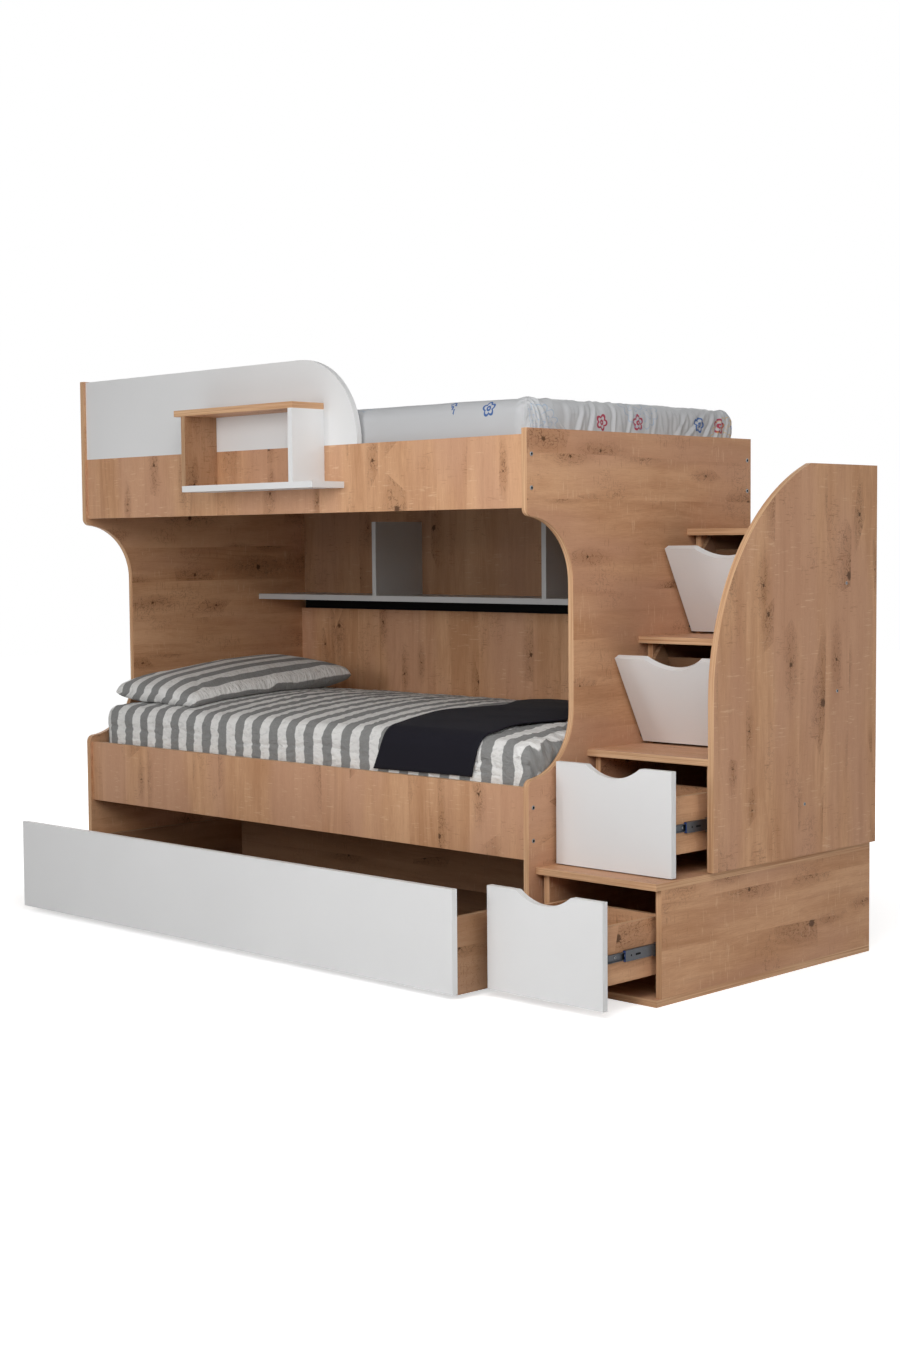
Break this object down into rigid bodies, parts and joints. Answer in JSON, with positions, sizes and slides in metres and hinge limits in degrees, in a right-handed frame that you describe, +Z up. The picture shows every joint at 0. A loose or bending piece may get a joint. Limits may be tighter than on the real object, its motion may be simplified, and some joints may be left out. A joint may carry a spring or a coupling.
{
  "type": "bunk bed with storage stairs",
  "caption": "Panel-built bunk bed with a staircase of drawers and tip-out bins at its end, a roll-out underbed drawer, a back shelf and a guard panel with a small ledge unit.",
  "frame": {"origin": "on the floor, below the middle of the whole at rest, with the drawers and bins open as modelled", "axes": "+X along the bed from its tall pillow end to the staircase, +Y from the open front to the back, +Z up"},
  "size_m": [2.369, 1.246, 1.685],
  "materials": {
    "oak_melamine": "satin oak-look melamine with embossed grain",
    "white_melamine": "satin white melamine",
    "drawer_board": "dull oak-look board",
    "dark_hardboard": "matt dark hardboard",
    "pale_pine": "planed pine",
    "mattress_cover": "printed cotton sateen sheet",
    "striped_cotton": "crinkled cotton with grey and white stripes",
    "dark_throw": "smooth dark navy knit",
    "zinc_steel": "bright zinc-plated sheet",
    "blue_plastic": "satin moulded",
    "grey_plastic": "satin moulded"
  },
  "bodies": {
    "root": {"left_end_panel": "oak_melamine", "right_end_panel": "oak_melamine", "upper_front_rail": "oak_melamine", "lower_front_rail": "oak_melamine", "upper_back_panel": "oak_melamine", "lower_back_panel": "oak_melamine", "ledge_top": "oak_melamine", "ledge_left_side": "oak_melamine", "base_bottom_board": "oak_melamine", "base_top_board": "oak_melamine", "second_tread": "oak_melamine", "third_tread": "oak_melamine", "top_tread": "oak_melamine", "stair_left_sides": "oak_melamine", "stair_right_sides": "oak_melamine", "tall_side_panel": "oak_melamine", "guard_panel": "white_melamine", "back_shelf": "white_melamine", "shelf_dividers": "white_melamine", "ledge_bottom": "white_melamine", "ledge_right_side": "white_melamine", "stair_back_boards": "drawer_board", "slot_backing_strip": "dark_hardboard", "upper_deck_slats": "pale_pine", "lower_deck_slats": "pale_pine", "deck_cleats": "pale_pine", "upper_mattress": "mattress_cover", "lower_mattress": "mattress_cover", "duvet": "striped_cotton", "pillow": "striped_cotton", "throw": "dark_throw", "slide_cabinet_members": "zinc_steel", "bin_pivot_pins": "zinc_steel"},
    "trundle": {"trundle_front": "white_melamine", "trundle_box": "drawer_board", "trundle_floor": "drawer_board", "caster_forks": "zinc_steel"},
    "base_drawer": {"base_drawer_front": "white_melamine", "base_drawer_box": "drawer_board", "base_drawer_floor": "drawer_board", "base_slide_drawer_members": "zinc_steel"},
    "base_slide": {"base_slide_middle_members": "zinc_steel", "base_slide_catches": "blue_plastic"},
    "second_drawer": {"second_drawer_front": "white_melamine", "second_drawer_box": "drawer_board", "second_drawer_floor": "drawer_board", "second_slide_drawer_members": "zinc_steel"},
    "second_slide": {"second_slide_middle_members": "zinc_steel", "second_slide_catches": "blue_plastic"},
    "lower_bin": {"lower_bin_front": "white_melamine", "lower_bin_box": "drawer_board"},
    "upper_bin": {"upper_bin_front": "white_melamine", "upper_bin_box": "drawer_board"},
    "wheel_front_left": {"trundle_wheel_front_left": "grey_plastic"},
    "wheel_front_right": {"trundle_wheel_front_right": "grey_plastic"},
    "wheel_back_left": {"trundle_wheel_back_left": "grey_plastic"},
    "wheel_back_right": {"trundle_wheel_back_right": "grey_plastic"}
  },
  "joints": [
    {"name": "trundle_slide", "type": "slide", "parent": "root", "child": "trundle", "axis": [0, -1, 0], "range_m": [-0.275, 0.545]},
    {"name": "base_drawer_slide", "type": "slide", "parent": "root", "child": "base_drawer", "axis": [0, -1, 0], "range_m": [-0.197, 0.028]},
    {"name": "base_middle_slide", "type": "slide", "parent": "root", "child": "base_slide", "axis": [0, -1, 0], "range_m": [-0.1153, 0.0165]},
    {"name": "second_drawer_slide", "type": "slide", "parent": "root", "child": "second_drawer", "axis": [0, -1, 0], "range_m": [-0.139, 0.086]},
    {"name": "second_middle_slide", "type": "slide", "parent": "root", "child": "second_slide", "axis": [0, -1, 0], "range_m": [-0.0814, 0.0504]},
    {"name": "lower_bin_tilt", "type": "hinge", "parent": "root", "child": "lower_bin", "pos_m": [0.7655, 0.1055, 0.6238], "axis": [1, 0, 0], "range_deg": [-27.5, 0]},
    {"name": "upper_bin_tilt", "type": "hinge", "parent": "root", "child": "upper_bin", "pos_m": [0.7655, 0.3218, 0.9173], "axis": [1, 0, 0], "range_deg": [-27.5, 0]},
    {"name": "wheel_front_left_spin", "type": "hinge", "parent": "trundle", "child": "wheel_front_left", "pos_m": [-1.0125, -0.515, 0.025], "axis": [1, 0, 0], "continuous": true},
    {"name": "wheel_front_right_spin", "type": "hinge", "parent": "trundle", "child": "wheel_front_right", "pos_m": [0.5935, -0.515, 0.025], "axis": [1, 0, 0], "continuous": true},
    {"name": "wheel_back_left_spin", "type": "hinge", "parent": "trundle", "child": "wheel_back_left", "pos_m": [-1.0125, 0.185, 0.025], "axis": [1, 0, 0], "continuous": true},
    {"name": "wheel_back_right_spin", "type": "hinge", "parent": "trundle", "child": "wheel_back_right", "pos_m": [0.5935, 0.185, 0.025], "axis": [1, 0, 0], "continuous": true}
  ],
  "couplings": [
    {"joint": "base_middle_slide", "follows": "base_drawer_slide", "ratio": 0.585},
    {"joint": "second_middle_slide", "follows": "second_drawer_slide", "ratio": 0.585}
  ]
}
